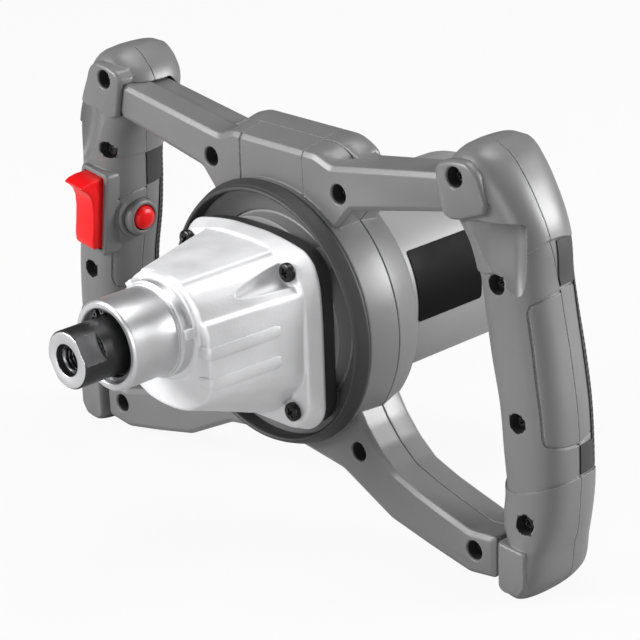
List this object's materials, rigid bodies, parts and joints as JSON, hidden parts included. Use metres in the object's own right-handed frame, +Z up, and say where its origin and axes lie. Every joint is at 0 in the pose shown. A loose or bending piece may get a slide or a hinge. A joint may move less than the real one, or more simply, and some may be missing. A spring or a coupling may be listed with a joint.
{
  "type": "mixing drill",
  "caption": "Two-handled mixing drill: geared motor in a moulded frame between two closed grips, with a threaded spindle in a nose collar, a trigger and a lock button.",
  "frame": {"origin": "centre of the bounding box in X and Y, at the base of the two handle feet in Z", "axes": "X runs from the trigger handle to the plain handle, the spindle points along -Y, and Z is up from the feet"},
  "size_m": [0.34, 0.2764, 0.209],
  "materials": {
    "spindle_steel": "blackened steel with a bright turned face",
    "gear_steel": "machined gear steel",
    "bearing_steel": "ground bearing steel",
    "circlip_steel": "phosphated spring steel",
    "seal_rubber": "black nitrile",
    "bush_bronze": "sintered bronze",
    "cast_aluminium": "bright cast aluminium with a turned collar",
    "plate_aluminium": "dark cast aluminium",
    "screw_steel": "blackened steel",
    "ring_plastic": "dark grey moulded plastic",
    "shell_plastic": "mid grey fine textured plastic",
    "grip_rubber": "black ribbed soft rubber",
    "motor_plastic": "grey moulded plastic",
    "plate_black": "plain black panel with no print",
    "core_steel": "varnished steel laminations and windings",
    "copper": "copper segments",
    "fan_plastic": "natural nylon",
    "stator_steel": "stacked steel laminations",
    "coil_copper": "enamelled copper wire",
    "brass_sheet": "folded brass",
    "carbon": "pressed carbon",
    "spring_steel": "spring wire",
    "red_plastic": "red moulded plastic",
    "switch_plastic": "black moulded switch case",
    "capacitor_plastic": "yellow film capacitor case"
  },
  "bodies": {
    "machine": {"gear_housing": "cast_aluminium", "bearing_plate": "plate_aluminium", "flange_screws": "screw_steel", "guard_ring": "ring_plastic", "frame_front_shell": "shell_plastic", "frame_rear_shell": "shell_plastic", "frame_screws": "screw_steel", "left_handle_front_shell": "shell_plastic", "left_handle_rear_shell": "shell_plastic", "right_handle_front_shell": "shell_plastic", "right_handle_rear_shell": "shell_plastic", "left_grip_pad": "grip_rubber", "right_grip_pad": "grip_rubber", "handle_screws": "screw_steel", "motor_housing": "motor_plastic", "end_cap": "motor_plastic", "end_cap_screws": "screw_steel", "motor_plate": "plate_black", "nose_bearing": "bearing_steel", "nose_circlip": "circlip_steel", "dust_seal": "seal_rubber", "spindle_rear_bush": "bush_bronze", "lay_front_bush": "bush_bronze", "lay_rear_bush": "bush_bronze", "armature_front_bearing": "bearing_steel", "armature_rear_bearing": "bearing_steel", "stator_core": "stator_steel", "field_coils": "coil_copper", "brush_holders": "brass_sheet", "carbon_brushes": "carbon", "brush_springs": "spring_steel", "trigger_spring": "spring_steel", "lock_spring": "spring_steel", "button_collar": "ring_plastic", "switch_body": "switch_plastic", "suppressor": "capacitor_plastic", "cable_gland": "seal_rubber"},
    "output": {"spindle": "spindle_steel", "spindle_gear": "gear_steel"},
    "lay": {"lay_shaft": "gear_steel", "lay_gear": "gear_steel"},
    "armature": {"armature_shaft": "gear_steel", "armature_core": "core_steel", "commutator": "copper", "cooling_fan": "fan_plastic"},
    "trigger": {"trigger": "red_plastic"},
    "lock_button": {"lock_button": "red_plastic"}
  },
  "joints": [
    {"name": "spindle_spin", "type": "hinge", "parent": "machine", "child": "output", "pos_m": [0, -0.0808, 0.11565], "axis": [0, 1, 0], "continuous": true},
    {"name": "lay_spin", "type": "hinge", "parent": "machine", "child": "lay", "pos_m": [0, -0.0408, 0.0844], "axis": [0, 1, 0], "continuous": true},
    {"name": "armature_spin", "type": "hinge", "parent": "machine", "child": "armature", "pos_m": [0, 0.0392, 0.102], "axis": [0, 1, 0], "continuous": true},
    {"name": "trigger_pull", "type": "slide", "parent": "machine", "child": "trigger", "axis": [0, 1, 0], "range_m": [0, 0.006], "stiffness_N_per_m": 900, "springref_m": -0.002, "deforming": ["trigger_spring"]},
    {"name": "lock_press", "type": "slide", "parent": "machine", "child": "lock_button", "axis": [-1, 0, 0], "range_m": [0, 0.003], "stiffness_N_per_m": 600, "springref_m": -0.001, "deforming": ["lock_spring"]}
  ],
  "couplings": [
    {"joint": "lay_spin", "follows": "spindle_spin", "ratio": -5.25},
    {"joint": "armature_spin", "follows": "spindle_spin", "ratio": 23.625}
  ]
}
